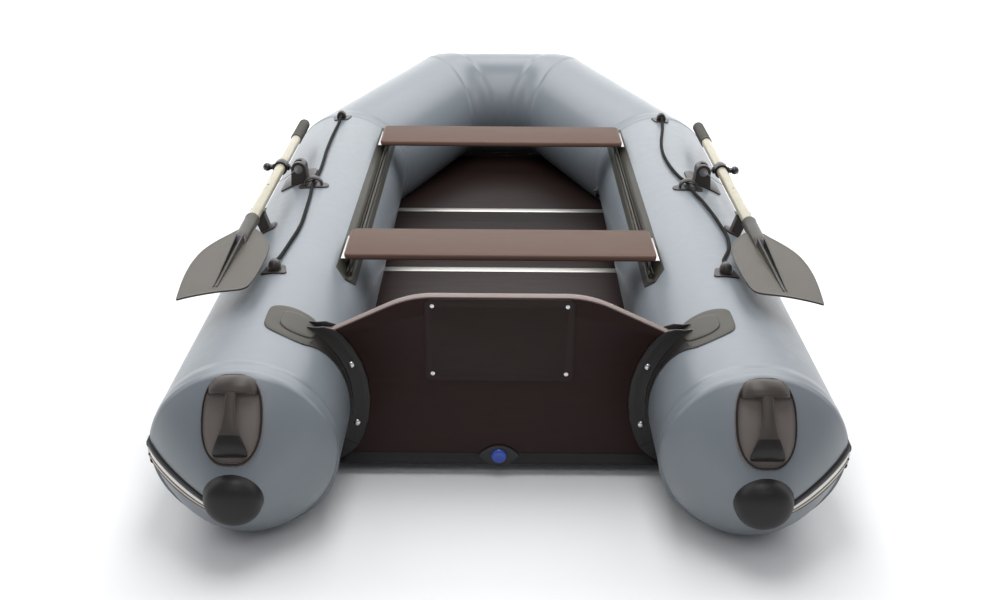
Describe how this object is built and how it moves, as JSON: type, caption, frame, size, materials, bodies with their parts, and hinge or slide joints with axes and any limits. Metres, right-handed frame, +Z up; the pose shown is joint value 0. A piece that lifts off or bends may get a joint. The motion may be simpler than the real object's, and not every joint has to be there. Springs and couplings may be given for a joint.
{
  "type": "inflatable dinghy",
  "caption": "Inflatable dinghy with pointed tail cones, plywood transom and floor, sliding bench seats, and oars stowed along the tubes.",
  "frame": {"origin": "centre of the bounding box at ground level, under the tubes", "axes": "+X starboard, +Y towards the bow, +Z up"},
  "size_m": [1.4946, 3.2214, 0.468],
  "materials": {
    "hull_fabric": "satin coated fabric",
    "black_rubber": "satin",
    "grey_rubber": "matt",
    "olive_rubber": "matt",
    "strake": "satin, with pale stripes",
    "bottom_fabric": "matt coated fabric",
    "inner_fabric": "matt coated fabric",
    "dark_plywood": "satin film faced",
    "seat_plywood": "satin film faced",
    "aluminium": "satin",
    "steel": "polished",
    "dark_plastic": "satin",
    "blue_plastic": "gloss",
    "cream_tube": "painted, satin",
    "blade_plastic": "satin",
    "grip": "matt",
    "rope": "braided"
  },
  "bodies": {
    "hull": {"port_side_tube": "hull_fabric", "starboard_side_tube": "hull_fabric", "port_tail_cone": "hull_fabric", "starboard_tail_cone": "hull_fabric", "port_bow_tube": "hull_fabric", "starboard_bow_tube": "hull_fabric", "bow_tube": "hull_fabric", "chamber_baffles": "inner_fabric", "tail_caps": "black_rubber", "port_tail_handle": "black_rubber", "starboard_tail_handle": "black_rubber", "bow_handle": "black_rubber", "rub_strake": "strake", "bottom_skin": "bottom_fabric", "keel_tube": "inner_fabric", "aft_floorboard": "dark_plywood", "middle_aft_floorboard": "dark_plywood", "middle_forward_floorboard": "dark_plywood", "bow_floorboard": "dark_plywood", "floor_joint_bars": "aluminium", "floor_stringers": "aluminium", "transom_board": "dark_plywood", "transom_flap": "black_rubber", "motor_plates": "dark_plywood", "transom_holders": "olive_rubber", "transom_fasteners": "steel", "drain_flange": "dark_plastic", "seat_rails": "olive_rubber", "oarlock_bases": "grey_rubber", "oar_clips": "grey_rubber", "port_grab_rope": "rope", "starboard_grab_rope": "rope", "rope_holders": "grey_rubber", "valve_bodies": "dark_plastic", "tow_patch": "olive_rubber"},
    "aft_seat_assembly": {"aft_seat": "seat_plywood", "aft_seat_runners": "aluminium"},
    "forward_seat_assembly": {"forward_seat": "seat_plywood", "forward_seat_runners": "aluminium"},
    "drain_stopper": {"drain_plug": "blue_plastic"},
    "port_valve_lid": {"port_valve_cap": "dark_plastic"},
    "starboard_valve_lid": {"starboard_valve_cap": "dark_plastic"},
    "bow_valve_lid": {"bow_valve_cap": "dark_plastic"},
    "tow_loop": {"tow_ring": "steel"},
    "port_oarlock": {"port_yoke": "steel", "port_ball_cap": "dark_plastic"},
    "port_oar": {"port_oar_collar": "dark_plastic", "port_upper_shaft": "cream_tube", "port_lower_shaft": "cream_tube", "port_grip": "grip", "port_blade": "blade_plastic"},
    "port_button": {"port_snap_button": "dark_plastic"},
    "starboard_oarlock": {"starboard_yoke": "steel", "starboard_ball_cap": "dark_plastic"},
    "starboard_oar": {"starboard_oar_collar": "dark_plastic", "starboard_upper_shaft": "cream_tube", "starboard_lower_shaft": "cream_tube", "starboard_grip": "grip", "starboard_blade": "blade_plastic"},
    "starboard_button": {"starboard_snap_button": "dark_plastic"}
  },
  "joints": [
    {"name": "aft_seat_slide", "type": "slide", "parent": "hull", "child": "aft_seat_assembly", "axis": [0, 1, 0], "range_m": [0, 0.4]},
    {"name": "forward_seat_slide", "type": "slide", "parent": "hull", "child": "forward_seat_assembly", "axis": [0, 1, 0], "range_m": [-0.4, 0.05]},
    {"name": "port_oarlock_turn", "type": "hinge", "parent": "hull", "child": "port_oarlock", "pos_m": [-0.6, -0.10875, 0.436], "axis": [0, 1, 0], "range_deg": [0, 90]},
    {"name": "port_oar_swing", "type": "hinge", "parent": "port_oarlock", "child": "port_oar", "pos_m": [-0.6, -0.10875, 0.436], "axis": [-1, 0, 0], "range_deg": [0, 5]},
    {"name": "port_button_press", "type": "slide", "parent": "port_oar", "child": "port_button", "axis": [1, 0, 0], "range_m": [0, 0.0035], "stiffness_N_per_m": 300},
    {"name": "starboard_oarlock_turn", "type": "hinge", "parent": "hull", "child": "starboard_oarlock", "pos_m": [0.6, -0.10875, 0.436], "axis": [0, -1, 0], "range_deg": [0, 90]},
    {"name": "starboard_oar_swing", "type": "hinge", "parent": "starboard_oarlock", "child": "starboard_oar", "pos_m": [0.6, -0.10875, 0.436], "axis": [-1, 0, 0], "range_deg": [0, 5]},
    {"name": "starboard_button_press", "type": "slide", "parent": "starboard_oar", "child": "starboard_button", "axis": [-1, 0, 0], "range_m": [0, 0.0035], "stiffness_N_per_m": 300},
    {"name": "drain_plug_pull", "type": "slide", "parent": "hull", "child": "drain_stopper", "axis": [0, -1, 0], "range_m": [0, 0.03]},
    {"name": "port_valve_cap_turn", "type": "hinge", "parent": "hull", "child": "port_valve_lid", "pos_m": [-0.34149, -0.87675, 0.17563], "axis": [0.9925, 0, -0.1219], "range_deg": [0, 90]},
    {"name": "starboard_valve_cap_turn", "type": "hinge", "parent": "hull", "child": "starboard_valve_lid", "pos_m": [0.34149, -0.87675, 0.17563], "axis": [-0.9925, 0, -0.1219], "range_deg": [0, 90]},
    {"name": "bow_valve_cap_turn", "type": "hinge", "parent": "hull", "child": "bow_valve_lid", "pos_m": [0.34979, 0.61325, 0.1382], "axis": [-0.9511, 0, -0.309], "range_deg": [0, 90]},
    {"name": "tow_ring_swing", "type": "hinge", "parent": "hull", "child": "tow_loop", "pos_m": [0, 1.57652, 0.15113], "axis": [1, 0, 0], "range_deg": [0, 70]}
  ]
}
